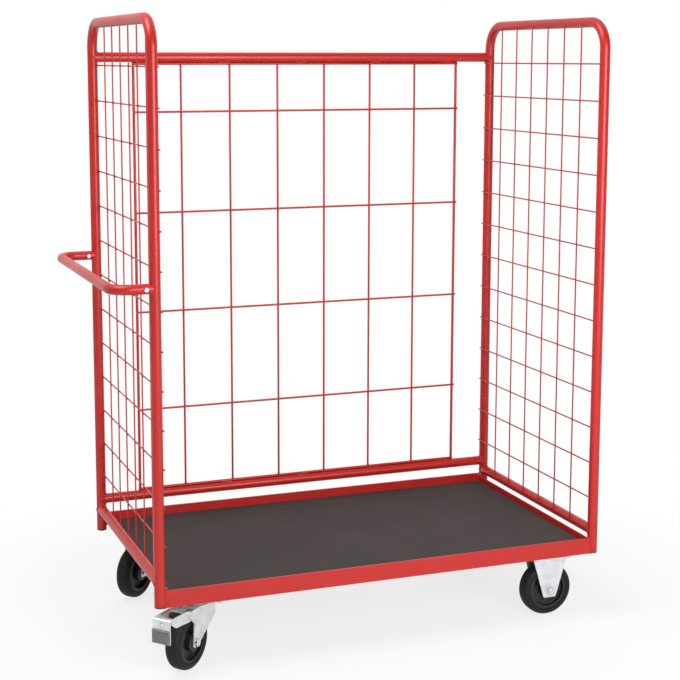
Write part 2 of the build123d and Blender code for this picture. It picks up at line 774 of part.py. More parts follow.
with BuildPart() as pedal_pad:
    with BuildSketch(pivot.offset(-pedal_half_w)):
        with Locations((pedal_reach + (pedal_t + pad_t) / 2, pad_h / 2 - pedal_foot_drop)):
            Rectangle(pad_t, pad_h)
    extrude(amount=2 * pedal_half_w)
    fillet(pedal_pad.faces().sort_by(Axis(pivot.origin, pivot.x_dir))[-1].edges(), pad_round)
keep(pedal_pad, "front_left_pedal_pad")
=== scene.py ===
"""Looks of the mesh shelf trolley: finishes, welds and wheels on its fixed frame, in metres."""

import json
import logging
import math
from dataclasses import dataclass
from enum import Enum
from typing import Any, Iterable, Sequence, Union

import bmesh
import bpy
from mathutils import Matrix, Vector


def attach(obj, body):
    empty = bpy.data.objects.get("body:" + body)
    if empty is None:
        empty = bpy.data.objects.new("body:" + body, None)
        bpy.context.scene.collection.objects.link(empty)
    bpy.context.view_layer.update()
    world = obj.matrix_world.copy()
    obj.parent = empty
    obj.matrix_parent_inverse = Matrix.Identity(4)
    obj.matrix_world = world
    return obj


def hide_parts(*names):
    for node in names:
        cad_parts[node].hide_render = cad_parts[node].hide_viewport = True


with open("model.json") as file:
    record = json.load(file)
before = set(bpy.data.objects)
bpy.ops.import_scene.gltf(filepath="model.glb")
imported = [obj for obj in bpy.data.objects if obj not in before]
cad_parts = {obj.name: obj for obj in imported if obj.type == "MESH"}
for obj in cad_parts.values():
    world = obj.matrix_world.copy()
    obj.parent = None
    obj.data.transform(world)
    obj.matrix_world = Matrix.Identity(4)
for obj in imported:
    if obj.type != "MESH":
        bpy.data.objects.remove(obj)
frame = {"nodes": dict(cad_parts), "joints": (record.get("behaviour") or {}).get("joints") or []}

log = logging.getLogger("trolley")

Colour = tuple[float, float, float]
Point = tuple[float, float, float]
Path = list[Vector]
End = tuple[Point, Vector, float]
Rows = tuple[tuple[float, float], ...]

FRAME_BODY = "trolley_frame"
TREAD = "tread"
WHITE = (1.0, 1.0, 1.0, 1.0)
MERGE = 2e-6
ON_AXIS = 1e-5
FLAT_ANGLE = math.radians(0.6)
CREASE_ANGLE = math.radians(34.0)
TYRE_ANGLE = math.radians(40.0)
CORNER_ANGLE = math.radians(50.0)


class Axis(Enum):
    """Ways that rails and wires run."""

    ALONG = Vector((1.0, 0.0, 0.0))
    ACROSS = Vector((0.0, 1.0, 0.0))
    UP = Vector((0.0, 0.0, 1.0))


class Side(Enum):
    """The trolley's two ends, with the sign of their X."""

    LEFT = -1.0
    RIGHT = 1.0

    def named(self, piece: str) -> str:
        """The name of a piece of this end."""
        return f"{self.name.lower()}_{piece}"


class Ray(Enum):
    """Kinds of ray that show the studio itself."""

    CAMERA = "Is Camera Ray"
    GLOSSY = "Is Glossy Ray"
    CLEAR = "Is Transmission Ray"


class Edge(Enum):
    """Widths of the edges that are broken, in metres."""

    SHARP = 0.0
    FINE = 0.0003
    SMALL = 0.0004
    SHEET = 0.0005
    SOFT = 0.0006
    BAR = 0.0007


@dataclass(frozen=True)
class Sock:
    """A node's output that takes part in Python sums."""

    nodes: "Nodes"
    socket: bpy.types.NodeSocket | None

    def _sum(self, operation: str, first: "Value", second: "Value") -> "Sock":
        """A Math node's result on two values."""
        return self.nodes.node("ShaderNodeMath", {"operation": operation}, {0: first, 1: second})

    def __add__(self, other: "Value") -> "Sock":
        """This value plus another."""
        return self._sum("ADD", self, other)

    def __radd__(self, other: "Value") -> "Sock":
        """Another value plus this one."""
        return self._sum("ADD", other, self)

    def __rsub__(self, other: "Value") -> "Sock":
        """Another value less this one."""
        return self._sum("SUBTRACT", other, self)

    def __mul__(self, other: "Value") -> "Sock":
        """This value times another."""
        return self._sum("MULTIPLY", self, other)

    def __rmul__(self, other: "Value") -> "Sock":
        """Another value times this one."""
        return self._sum("MULTIPLY", other, self)

    def __pow__(self, other: "Value") -> "Sock":
        """This value to a power."""
        return self._sum("POWER", self, other)

    def above(self, limit: float) -> "Sock":
        """One where this value is over a limit, else nought."""
        return self._sum("GREATER_THAN", self, limit)

    def sine(self) -> "Sock":
        """The sine of this value."""
        return self._sum("SINE", self, 0.0)


Value = Union[Sock, float]


class Nodes:
    """A node tree under construction."""

    def __init__(self, tree: bpy.types.NodeTree) -> None:
        """Takes over an empty tree."""
        self.tree = tree

    def node(
        self,
        kind: str,
        settings: dict[str, Any] | None = None,
        sockets: dict[Any, Any] | None = None,
        out: Any = 0,
    ) -> Sock:
        """Adds a node.

        Args:
            kind: the node's type.
            settings: its properties, set first; stops are a ramp's two places and grey levels.
            sockets: values or links by the input's name or number.
            out: the output that is handed back.

        Returns:
            That output, or an empty one from a node that ends a tree.
        """
        made = self.tree.nodes.new(kind)
        for name, value in (settings or {}).items():
            if name == "stops":
                for element, (place, level) in zip(made.color_ramp.elements, value):
                    element.position, element.color = place, (level, level, level, 1.0)
            else:
                setattr(made, name, value)
        for key, value in (sockets or {}).items():
            if isinstance(value, Sock):
                self.tree.links.new(value.socket, made.inputs[key])
            else:
                made.inputs[key].default_value = value
        return Sock(self, made.outputs[out] if len(made.outputs) else None)


class Shader(Nodes):
    """A material's nodes, with the few that every finish shares."""

    def __init__(self, name: str) -> None:
        """Starts an empty material.

        Args:
            name: the material's name.
        """
        self.material = bpy.data.materials.new(name)
        self.material.use_nodes = True
        super().__init__(self.material.node_tree)
        self.tree.nodes.clear()

    def place(self) -> Sock:
        """The point on the piece, in the row frame."""
        return self.node("ShaderNodeTexCoord", out="Object")

    def rise(self, vector: Sock) -> Sock:
        """The upward part of a vector."""
        return self.node("ShaderNodeSeparateXYZ", None, {0: vector}, "Z")

    def stretched(self, at: Sock, scale: Point) -> Sock:
        """A point pulled out by a factor along each axis."""
        return self.node("ShaderNodeMapping", None, {"Vector": at, "Scale": scale})

    def noise(self, at: Sock, scale: float, detail: float = 2.0, rough: float = 0.5) -> Sock:
        """Cloudy noise from nought to one, with so many clouds to the metre."""
        values = {"Vector": at, "Scale": scale, "Detail": detail, "Roughness": rough}
        return self.node("ShaderNodeTexNoise", None, values)

    def mask(self, value: Sock, low: float, high: float) -> Sock:
        """A value spread so that low becomes nought and high becomes one."""
        stops = ((low, 0.0), (high, 1.0))
        return self.node("ShaderNodeValToRGB", {"stops": stops}, {"Fac": value}, "Color")

    def blend(self, share: Value, first: Any, second: Any) -> Sock:
        """Two colours or links mixed, with the share of the second."""
        first, second = (c if isinstance(c, Sock) else (*c, 1.0) for c in (first, second))
        return self.node("ShaderNodeMix", {"data_type": "RGBA"}, {0: share, 6: first, 7: second}, 2)

    def bump(self, height: Sock, strength: float, depth: float) -> Sock:
        """A normal bumped by a relief from nought to one, with its depth in metres."""
        values = {"Strength": strength, "Distance": depth, "Height": height}
        return self.node("ShaderNodeBump", None, values)

    def principled(self, **sockets: Any) -> Sock:
        """The main surface shader, with its sockets by name, an underscore for each blank."""
        values = {key.replace("_", " "): value for key, value in sockets.items()}
        return self.node("ShaderNodeBsdfPrincipled", None, values)

    def finish(self, surface: Sock) -> bpy.types.Material:
        """Ends the material in a surface and hands it over."""
        self.node("ShaderNodeOutputMaterial", None, {"Surface": surface})
        return self.material


@dataclass(frozen=True)
class Finish:
    """A finish that pieces share, named once."""

    name: str
    slot: str
    colour: Colour

    def surface(self, shader: Shader) -> Sock:
        """Builds the finish in an empty material and gives its surface."""
        raise NotImplementedError

    def material(self) -> bpy.types.Material:
        """Makes the finish's material the first time that it is asked for.

        Returns:
            The material.
        """
        known = bpy.data.materials.get(self.name)
        if known is not None:
            return known
        shader = Shader(self.name)
        return shader.finish(self.surface(shader))


@dataclass(frozen=True)
class PowderCoat(Finish):
    """Red powder coat: a slight orange peel, drifts of tone and a few rubbed places."""

    deep: Colour = (0.41, 0.009, 0.007)
    rubbed: Colour = (0.58, 0.055, 0.055)
    gloss: float = 0.33
    specular: float = 0.50
    drift_scale: float = 5.0
    wear_scale: float = 46.0
    peel_scale: float = 620.0
    ripple_scale: float = 150.0
    relief: float = 0.0004

    def surface(self, shader: Shader) -> Sock:
        """Builds the coat.

        Args:
            shader: the empty material.

        Returns:
            Its surface.
        """
        at = shader.place()
        drift = shader.mask(shader.noise(at, self.drift_scale, 3.0), 0.30, 0.72)
        wear = shader.mask(shader.noise(at, self.wear_scale, 6.0, 0.62), 0.66, 0.76)
        peel = shader.noise(at, self.peel_scale, 1.0)
        ripple = shader.noise(at, self.ripple_scale, 2.0)
        colour = shader.blend(drift * 0.45, self.colour, self.deep)
        colour = shader.blend(wear * 0.35, colour, self.rubbed)
        return shader.principled(
            Base_Color=colour,
            Roughness=self.gloss + 0.10 * drift + 0.14 * wear,
            Specular_IOR_Level=self.specular,
            Normal=shader.bump(peel * 0.6 + ripple * 0.4, 0.16, self.relief),
        )


@dataclass(frozen=True)
class FilmBoard(Finish):
    """Dark film-faced plywood: a pressed grid on top, scuffs along it, plies at its edges."""

    scuff: Colour = (0.127, 0.112, 0.111)
    ply_light: Colour = (0.20, 0.125, 0.07)
    ply_dark: Colour = (0.075, 0.042, 0.022)
    shade: float = 0.72
    gloss: float = 0.66
    specular: float = 0.08
    cloud_scale: float = 4.5
    streak_scale: float = 9.0
    streak_pull: Point = (1.0, 9.0, 1.0)
    speck_scale: float = 240.0
    grain_scale: float = 60.0
    grain_pull: Point = (1.0, 1.0, 24.0)
    wave_turn: float = 0.314
    grid_pitch: float = 0.0042
    relief: float = 0.0005
    plies: float = 9.0
    thickness: float = 0.027
    steep: float = 0.2

    def wave(self, shader: Shader, at: Sock, way: str) -> Sock:
        """The height of the pressed grid's lines across one axis."""
        values = {"Vector": at, "Scale": self.wave_turn / self.grid_pitch}
        return shader.node("ShaderNodeTexWave", {"bands_direction": way}, values, "Fac")

    def surface(self, shader: Shader) -> Sock:
        """Builds the board.

        Args:
            shader: the empty material.

        Returns:
            Its surface.
        """
        at = shader.place()
        grid = (self.wave(shader, at, "X") * self.wave(shader, at, "Y")) ** 2.0
        cloud = shader.mask(shader.noise(at, self.cloud_scale, 4.0), 0.32, 0.70)
        streak = shader.noise(shader.stretched(at, self.streak_pull), self.streak_scale, 7.0, 0.66)
        scuffs = shader.mask(streak, 0.56, 0.72)
        specks = shader.mask(shader.noise(at, self.speck_scale, 2.0), 0.62, 0.74)
        dark = tuple(self.shade * c for c in self.colour)
        top = shader.blend(cloud, dark, self.colour)
        top = shader.blend(scuffs * 0.42 + specks * 0.12, top, self.scuff)
        layer = (shader.rise(at) * (self.plies / self.thickness)).sine()
        grain = shader.noise(shader.stretched(at, self.grain_pull), self.grain_scale, 4.0)
        plies = shader.blend(layer * 0.5 + grain * 0.5, self.ply_dark, self.ply_light)
        upright = shader.rise(shader.node("ShaderNodeNewGeometry", out="Normal"))
        side = 1.0 - (upright * upright).above(self.steep)
        return shader.principled(
            Base_Color=shader.blend(side, top, plies),
            Roughness=self.gloss + 0.10 * cloud + 0.10 * scuffs,
            Specular_IOR_Level=self.specular,
            Normal=shader.bump(grid * 0.8 + specks * 0.2, 0.35, self.relief),
        )


@dataclass(frozen=True)
class ZincSheet(Finish):
    """Zinc-plated pressed sheet: cool spangle, soft rolling marks and a dull bloom."""

    dull: Colour = (0.66, 0.68, 0.70)
    gloss: float = 0.40
    metal: float = 0.78
    spangle_scale: float = 190.0
    bloom_scale: float = 34.0
    rolled_scale: float = 900.0
    rolled_pull: Point = (1.0, 1.0, 0.07)
    pressed_scale: float = 17.0
    relief: float = 0.004

    def surface(self, shader: Shader) -> Sock:
        """Builds the sheet.

        Args:
            shader: the empty material.

        Returns:
            Its surface.
        """
        at = shader.place()
        cells = {"Vector": at, "Scale": self.spangle_scale}
        spangle = shader.node("ShaderNodeTexVoronoi", None, cells, "Color")
        level = shader.node("ShaderNodeSeparateColor", None, {0: spangle}, 0)
        bloom = shader.mask(shader.noise(at, self.bloom_scale, 4.0), 0.36, 0.68)
        rolled = shader.noise(shader.stretched(at, self.rolled_pull), self.rolled_scale, 2.0)
        pressed = shader.noise(at, self.pressed_scale, 1.0)
        return shader.principled(
            Base_Color=shader.blend(bloom * 0.6 + level * 0.25, self.colour, self.dull),
            Metallic=self.metal,
            Roughness=self.gloss + 0.12 * bloom + 0.06 * level,
            Normal=shader.bump(pressed + rolled * 0.008 + level * 0.004, 0.6, self.relief),
        )


@dataclass(frozen=True)
class BrightSteel(Finish):
    """Plated fasteners and pins: turned rings and a trace of grime."""

    grime: Colour = (0.30, 0.30, 0.30)
    gloss: float = 0.24
    metal: float = 0.95
    grime_scale: float = 130.0
    turned_scale: float = 1500.0
    relief: float = 0.0003

    def surface(self, shader: Shader) -> Sock:
        """Builds the steel.

        Args:
            shader: the empty material.

        Returns:
            Its surface.
        """
        at = shader.place()
        grime = shader.mask(shader.noise(at, self.grime_scale, 5.0, 0.6), 0.55, 0.75)
        return shader.principled(
            Base_Color=shader.blend(grime * 0.55, self.colour, self.grime),
            Metallic=self.metal,
            Roughness=self.gloss + 0.25 * grime,
            Normal=shader.bump(shader.noise(at, self.turned_scale, 1.0), 0.08, self.relief),
        )


@dataclass(frozen=True)
class TyreRubber(Finish):
    """Solid rubber: matt, with a dusty worn tread that the tyre's own attribute marks."""

    dust: Colour = (0.038, 0.037, 0.036)
    gloss: float = 0.46
    specular: float = 0.22
    patch_scale: float = 55.0
    grain_scale: float = 1100.0
    relief: float = 0.0004

    def surface(self, shader: Shader) -> Sock:
        """Builds the rubber.

        Args:
            shader: the empty material.

        Returns:
            Its surface.
        """
        at = shader.place()
        tread = shader.node("ShaderNodeAttribute", {"attribute_name": TREAD}, None, "Fac")
        patch = shader.mask(shader.noise(at, self.patch_scale, 5.0, 0.6), 0.38, 0.70)
        return shader.principled(
            Base_Color=shader.blend(patch * (0.18 + 0.55 * tread), self.colour, self.dust),
            Roughness=self.gloss + 0.22 * patch + 0.12 * tread,
            Specular_IOR_Level=self.specular,
            Normal=shader.bump(shader.noise(at, self.grain_scale, 2.0), 0.14, self.relief),
        )


@dataclass(frozen=True)
class Moulded(Finish):
    """Dark moulded plastic with a fine spark-eroded grain and a rubbed bloom."""

    bloom: Colour = (0.085, 0.085, 0.09)
    gloss: float = 0.46
    specular: float = 0.45
    rub_scale: float = 70.0
    grain_scale: float = 1600.0
    relief: float = 0.0003

    def surface(self, shader: Shader) -> Sock:
        """Builds the plastic.

        Args:
            shader: the empty material.

        Returns:
            Its surface.
        """
        at = shader.place()
        rubbed = shader.mask(shader.noise(at, self.rub_scale, 4.0), 0.42, 0.72)
        return shader.principled(
            Base_Color=shader.blend(rubbed * 0.6, self.colour, self.bloom),
            Roughness=self.gloss + 0.16 * rubbed,
            Specular_IOR_Level=self.specular,
            Normal=shader.bump(shader.noise(at, self.grain_scale, 1.0), 0.12, self.relief),
        )


RED = PowderCoat("red_powder_coat", "red_paint", (0.535, 0.015, 0.010))
BOARD = FilmBoard("film_faced_board", "dark_board", (0.075, 0.063, 0.062))
ZINC = ZincSheet("zinc_pressed_sheet", "zinc_sheet", (0.85, 0.87, 0.885))
STEEL = BrightSteel("bright_fastener", "bright_steel", (0.70, 0.71, 0.73))
RUBBER = TyreRubber("tyre_rubber", "black_tyre", (0.010, 0.010, 0.0105))
CENTRE = Moulded("wheel_centre", "grey_plastic", (0.012, 0.012, 0.013), (0.035, 0.035, 0.037))
PLUG = Moulded("tube_plug", "black_plastic", (0.016, 0.016, 0.017))
# Painted shade: the brake shoe's near-black plastic makes the pedal's window read as shadow.
SHOE_PAINTED_SHADE = Moulded("brake_shoe_painted_shade", "black_plastic", (0.014, 0.014, 0.015), (0.045, 0.045, 0.046), 0.52)
PAD = Moulded("pedal_rubber", "grey_rubber", (0.185, 0.190, 0.188), (0.285, 0.290, 0.286), 0.55)


class GeoTree(Nodes):
    """A Geometry Nodes tree with named inputs, and the modifier that runs it once."""

    def __init__(self, name: str, *sizes: str) -> None:
        """Starts a tree that gives geometry, and takes geometry, a finish and sizes.

        Args:
            name: the tree's name.
            sizes: the names of its sizes.
        """
        super().__init__(bpy.data.node_groups.new(name, "GeometryNodeTree"))
        shape = "NodeSocketGeometry"
        self.tree.interface.new_socket("Geometry", in_out="OUTPUT", socket_type=shape)
        self.identifiers: dict[str, str] = {}
        self.take("Geometry", shape)
        self.take("Finish", "NodeSocketMaterial")
        for size in sizes:
            self.take(size, "NodeSocketFloat")

    def take(self, name: str, kind: str) -> None:
        """Adds a named input of a socket type."""
        made = self.tree.interface.new_socket(name, in_out="INPUT", socket_type=kind)
        self.identifiers[name] = made.identifier

    def given(self, name: str) -> Sock:
        """The value of a named input."""
        return self.node("NodeGroupInput", out=name)

    def scatter(self, points: Sock, drop: Sock, seed: int, **more: Sock) -> None:
        """Sets a drop of uneven size on each point and ends the tree.

        Args:
            points: the points.
            drop: the drop.
            seed: the seed of its sizes.
            more: further inputs of the drops.
        """
        spread = self.given("Unevenness")
        limits = {2: 1.0 - spread, 3: 1.0 + spread, "Seed": seed}
        size = self.node("FunctionNodeRandomValue", {"data_type": "FLOAT"}, limits, 1)
        values = {"Points": points, "Instance": drop, "Scale": size, **more}
        self.end(self.node("GeometryNodeInstanceOnPoints", None, values))

    def end(self, instances: Sock) -> None:
        """Realizes instances, gives them the Finish input's material and ends the tree.

        Args:
            instances: the placed instances.
        """
        solid = self.node("GeometryNodeRealizeInstances", None, {0: instances})
        smooth = self.node("GeometryNodeSetShadeSmooth", None, {0: solid})
        values = {0: smooth, "Material": self.given("Finish")}
        dressed = self.node("GeometryNodeSetMaterial", None, values)
        self.node("NodeGroupOutput", None, {0: dressed})

    def run(self, mesh: bpy.types.Mesh, values: dict[str, Any]) -> bpy.types.Mesh:
        """Runs the tree on a mesh.

        Args:
            mesh: the points or paths that the tree works on.
            values: the inputs by name.

        Returns:
            The result as a plain mesh.
        """
        carrier = bpy.data.objects.new(mesh.name, mesh)
        bpy.context.scene.collection.objects.link(carrier)
        modifier = carrier.modifiers.new(self.tree.name, "NODES")
        modifier.node_group = self.tree
        for name, value in values.items():
            modifier[self.identifiers[name]] = value
        return settle(carrier)


def settle(carrier: bpy.types.Object) -> bpy.types.Mesh:
    """Turns an object with modifiers into a plain mesh and removes the object.

    Args:
        carrier: the object.

    Returns:
        The mesh with its modifiers applied.
    """
    evaluated = carrier.evaluated_get(bpy.context.evaluated_depsgraph_get())
    mesh = bpy.data.meshes.new_from_object(evaluated)
    bpy.data.objects.remove(carrier)
    return mesh


@dataclass
class Trees:
    """The trees that lay weld beads, set spot welds and run tubes."""

    bead_sides: int = 8
    bead_rings: int = 6
    bead_seed: int = 7
    spot_rounds: int = 2
    spot_seed: int = 11
    bend_steps: int = 18

    def __post_init__(self) -> None:
        """Builds the three trees."""
        self.beads, self.spots, self.tubes = self.bead(), self.spot(), self.tube()

    def bead(self) -> GeoTree:
        """A tree that lays a rippled weld bead along each path of edges.

        Returns:
            The tree, with Pitch, Radius, Unevenness and Finish inputs.
        """
        tree = GeoTree("weld_bead", "Pitch", "Radius", "Unevenness")
        path = tree.node("GeometryNodeMeshToCurve", None, {0: tree.given("Geometry")})
        values = {"Curve": path, "Length": tree.given("Pitch")}
        steps = tree.node("GeometryNodeResampleCurve", {"mode": "LENGTH"}, values)
        values = {"Segments": self.bead_sides, "Rings": self.bead_rings}
        values["Radius"] = tree.given("Radius")
        drop = tree.node("GeometryNodeMeshUVSphere", None, values)
        values = {"Vector": tree.node("GeometryNodeInputTangent")}
        aim = tree.node("FunctionNodeAlignRotationToVector", {"axis": "Z"}, values)
        tree.scatter(steps, drop, self.bead_seed, Rotation=aim)
        return tree

    def spot(self) -> GeoTree:
        """A tree that sets a small flattened weld on each point.

        Returns:
            The tree, with Radius, Flatness, Unevenness and Finish inputs.
        """
        tree = GeoTree("spot_weld", "Radius", "Unevenness")
        tree.take("Flatness", "NodeSocketVector")
        values = {"Radius": tree.given("Radius"), "Subdivisions": self.spot_rounds}
        drop = tree.node("GeometryNodeMeshIcoSphere", None, values)
        values = {"Geometry": drop, "Scale": tree.given("Flatness")}
        flat = tree.node("GeometryNodeTransform", None, values)
        tree.scatter(tree.given("Geometry"), flat, self.spot_seed)
        return tree

    def tube(self) -> GeoTree:
        """A tree that runs a round tube, rod or rib along each path and rounds its bends.

        Returns:
            The tree, with Radius, Bend, Sides and Finish inputs.
        """
        tree = GeoTree("bent_tube", "Radius", "Bend")
        tree.take("Sides", "NodeSocketInt")
        path = tree.node("GeometryNodeMeshToCurve", None, {0: tree.given("Geometry")})
        values = {"Curve": path, "Count": self.bend_steps, "Radius": tree.given("Bend")}
        bent = tree.node("GeometryNodeFilletCurve", {"mode": "POLY"}, values)
        values = {"Resolution": tree.given("Sides"), "Radius": tree.given("Radius")}
        ring = tree.node("GeometryNodeCurvePrimitiveCircle", {"mode": "RADIUS"}, values)
        values = {"Curve": bent, "Profile Curve": ring, "Fill Caps": True}
        tree.end(tree.node("GeometryNodeCurveToMesh", None, values))
        return tree


def shade(mesh: bpy.types.Mesh, angle: float) -> None:
    """Shades a mesh smooth, with edges past an angle left sharp."""
    mesh.polygons.foreach_set("use_smooth", [True] * len(mesh.polygons))
    mesh.set_sharp_from_angle(angle=angle)


def broken(mesh: bpy.types.Mesh, width: float) -> bpy.types.Mesh:
    """Breaks a mesh's sharp edges.

    Args:
        mesh: the mesh.
        width: the width of the broken edges.

    Returns:
        The mesh with its edges broken.
    """
    carrier = bpy.data.objects.new(mesh.name, mesh)
    bpy.context.scene.collection.objects.link(carrier)
    bevel = carrier.modifiers.new("broken_edge", "BEVEL")
    bevel.width = width
    bevel.segments = 2
    bevel.limit_method = "ANGLE"
    bevel.angle_limit = CORNER_ANGLE
    bevel.harden_normals = True
    return settle(carrier)


def path_mesh(name: str, paths: Iterable[Path]) -> bpy.types.Mesh:
    """A mesh of bare edges.

    Args:
        name: the mesh's name.
        paths: rows of points, joined in turn.

    Returns:
        The mesh.
    """
    points: list[Vector] = []
    edges: list[tuple[int, int]] = []
    for path in paths:
        first = len(points)
        points += path
        edges += [(first + i, first + i + 1) for i in range(len(path) - 1)]
    mesh = bpy.data.meshes.new(name)
    mesh.from_pydata(points, edges, [])
    return mesh


def straight(first: Point, last: Point) -> Path:
    """A path from one point to another."""
    return [Vector(first), Vector(last)]


def cope(mesh: bpy.types.Mesh, axis: Point, run: Vector, radius: float) -> None:
    """Draws the ends that lie on a post's axis back to its round.

    Args:
        mesh: tubes or wires that run away from the axis.
        axis: a point on the axis that their middles meet.
        run: the way that they leave it, at a right angle.
        radius: the post's radius.
    """
    post = Vector(axis)
    along = [abs(part) for part in run].index(1.0)
    level = 2 if along != 2 else 1
    across = 3 - along - level
    for vertex in mesh.vertices:
        off = vertex.co - post
        if abs(off[along]) < ON_AXIS and abs(off[across]) < radius:
            vertex.co[along] += run[along] * math.sqrt(radius**2 - off[across] ** 2)


def saddle(post: Point, way: Vector, radius: float, count: int = 48) -> Path:
    """The closed seam where a tube meets a post of its own size at a right angle.

    Args:
        post: the point on the post's axis at the tube's height.
        way: the tube's direction away from the post.
        radius: the radius of both.
        count: steps around the tube.

    Returns:
        The seam's points.
    """
    across = way.cross(Axis.UP.value)
    seam = []
    for i in range(count + 1):
        turn = math.tau * i / count
        rise = radius * math.sin(turn)
        aside = across * (radius * math.cos(turn))
        seam.append(Vector(post) + way * abs(rise) + aside + Axis.UP.value * rise)
    return seam


@dataclass
class SubAssembly:
    """Pieces of one body that belong together."""

    trees: Trees
    body: str = FRAME_BODY

    def build(self) -> None:
        """Makes the pieces and shows them."""
        raise NotImplementedError

    def show(self, name: str, mesh: bpy.types.Mesh, finish: Finish, *nodes: str) -> None:
        """Puts a finished mesh on the body.

        Args:
            name: the piece's name.
            mesh: its mesh, in the row frame.
            finish: its finish.
            nodes: the nodes that it stands for.
        """
        mesh.materials.clear()
        mesh.materials.append(finish.material())
        mesh.name = name
        piece = bpy.data.objects.new(name, mesh)
        bpy.context.scene.collection.objects.link(piece)
        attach(piece, self.body)
        if nodes:
            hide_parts(*nodes)
        log.info("%s on %s: %d faces", name, self.body, len(mesh.polygons))

    def dress(self, node: str, finish: Finish, edge: Edge = Edge.SHARP) -> None:
        """Stands a smooth copy in for a node, with its edges broken.

        Args:
            node: the node.
            finish: its finish.
            edge: its broken edges.
        """
        mesh = frame["nodes"][node].data.copy()
        soft = bmesh.new()
        soft.from_mesh(mesh)
        bmesh.ops.remove_doubles(soft, verts=soft.verts[:], dist=MERGE)
        if edge is not Edge.SHARP:
            both = {"verts": soft.verts[:], "edges": soft.edges[:]}
            bmesh.ops.dissolve_limit(soft, angle_limit=FLAT_ANGLE, **both)
        soft.to_mesh(mesh)
        soft.free()
        shade(mesh, CREASE_ANGLE)
        if edge is not Edge.SHARP:
            mesh = broken(mesh, edge.value)
        self.show(node + "_dressed", mesh, finish, node)

    def rods(
        self,
        name: str,
        paths: list[Path],
        radius: float,
        *nodes: str,
        finish: Finish = RED,
        bend: float = 0.0,
        sides: int = 36,
        ends: Sequence[End] = (),
    ) -> None:
        """Runs round tubes along paths, with smooth sides and crisp ends.

        Args:
            name: the piece's name.
            paths: the tubes' middle lines, with sharp corners.
            radius: the tubes' radius.
            nodes: the nodes that they stand for.
            finish: their finish.
            bend: the radius of their bends.
            sides: faces around each.
            ends: the posts that they are coped to: a point, the way off it and its radius.
        """
        values = {"Radius": radius, "Bend": bend, "Sides": sides, "Finish": finish.material()}
        mesh = self.trees.tubes.run(path_mesh("tube_paths", paths), values)
        mesh.set_sharp_from_angle(angle=CORNER_ANGLE)
        for axis, run, post_r in ends:
            cope(mesh, axis, run, post_r)
        self.show(name, mesh, finish, *nodes)


@dataclass
class Posted(SubAssembly):
    """Pieces that meet the four posts."""

    post_x: float = 0.625
    post_y: float = 0.340
    tube_r: float = 0.014


@dataclass
class Welded(Posted):
    """Pieces that are welded to the posts and to each other."""

    bead_r: float = 0.0023
    bead_pitch: float = 0.0018
    unevenness: float = 0.16

    def lay(self, name: str, seams: list[Path]) -> None:
        """Lays weld beads.

        Args:
            name: the piece's name.
            seams: the paths that they follow.
        """
        values = {"Pitch": self.bead_pitch, "Radius": self.bead_r, "Unevenness": self.unevenness}
        values["Finish"] = RED.material()
        self.show(name, self.trees.beads.run(path_mesh(name + "_seams", seams), values), RED)


@dataclass
class Base(Welded):
    """Angle irons, end bars, bearers and the board that lies in them."""

    under: float = -0.032
    front_top: float = 0.013
    front_face: float = -0.350
    iron: float = 0.005
    end_out: float = 0.608
    end_foot: float = -0.014
    end_top: float = 0.014
    back_in: float = 0.326
    bearer_in: float = 0.438
    bearer_out: float = 0.594
    front_flange: float = -0.300
    back_flange: float = 0.281
    bead_r: float = 0.0021
    bead_pitch: float = 0.0017

    def build(self) -> None:
        """Dresses the base's nodes and lays its weld beads."""
        for node in ("front_rail", "back_rail", "left_end_rail", "right_end_rail"):
            self.dress(node, RED, Edge.BAR)
        for node in ("left_caster_bearer", "right_caster_bearer"):
            self.dress(node, RED, Edge.SHEET)
        self.dress("deck_board", BOARD, Edge.SOFT)
        self.dress("deck_screws", STEEL, Edge.SMALL)
        self.dress("post_plugs", PLUG)
        for node in ("caster_bolts", "caster_nuts"):
            self.dress(node, STEEL)
        self.lay("base_welds", self.seams())

    def beside(self, off: float) -> float:
        """How far out a post's inner round stands at some distance from its axis."""
        return self.post_x - math.sqrt(self.tube_r**2 - off**2)

    def seams(self) -> list[Path]:
        """The seams of the base.

        Returns:
            Paths of its weld beads.
        """
        found: list[Path] = []
        front_in = self.front_face + self.iron
        back = self.beside(self.tube_r - self.iron)
        corners = ((back, self.back_in), (self.end_out, front_in), (self.end_out, self.back_in))
        for sign in (-1.0, 1.0):
            for y in (self.front_face, front_in):
                x = sign * self.beside(y + self.post_y)
                found.append(straight((x, y, self.under), (x, y, self.front_top)))
            for x, y in corners:
                found.append(straight((sign * x, y, self.end_foot), (sign * x, y, self.end_top)))
            for y in (self.front_flange, self.back_flange):
                ends = [(sign * x, y, self.under) for x in (self.bearer_in, self.bearer_out)]
                found.append(straight(*ends))
        return found


